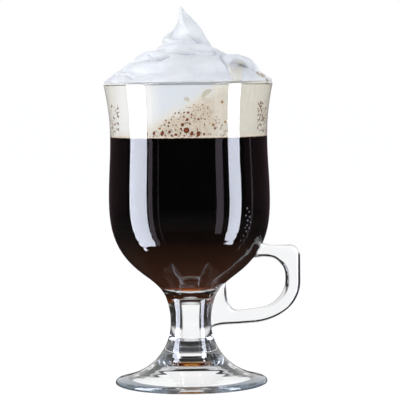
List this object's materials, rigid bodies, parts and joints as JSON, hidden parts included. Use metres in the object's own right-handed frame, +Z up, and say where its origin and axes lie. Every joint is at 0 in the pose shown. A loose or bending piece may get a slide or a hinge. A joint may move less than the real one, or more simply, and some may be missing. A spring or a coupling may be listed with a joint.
{
  "type": "irish coffee glass mug",
  "caption": "Footed clear glass mug with a flat loop handle low on the bowl, filled with black coffee under froth and a tall swirl of whipped cream.",
  "frame": {"origin": "centre of the foot's resting face, on the table", "axes": "+Z up along the mug's axis, +X towards the handle"},
  "size_m": [0.0928, 0.0804, 0.1817],
  "materials": {
    "clear_glass": "fire polished",
    "coffee": "liquid",
    "froth": "fine foam",
    "cream": "soft satin"
  },
  "bodies": {
    "root": {"bowl": "clear_glass", "stem": "clear_glass", "foot": "clear_glass", "handle": "clear_glass", "coffee": "coffee", "froth": "froth", "cream_layer": "cream", "cream_blanket": "cream", "cream_billow": "cream", "cream_swirl": "cream", "cream_peak": "cream"}
  },
  "joints": []
}
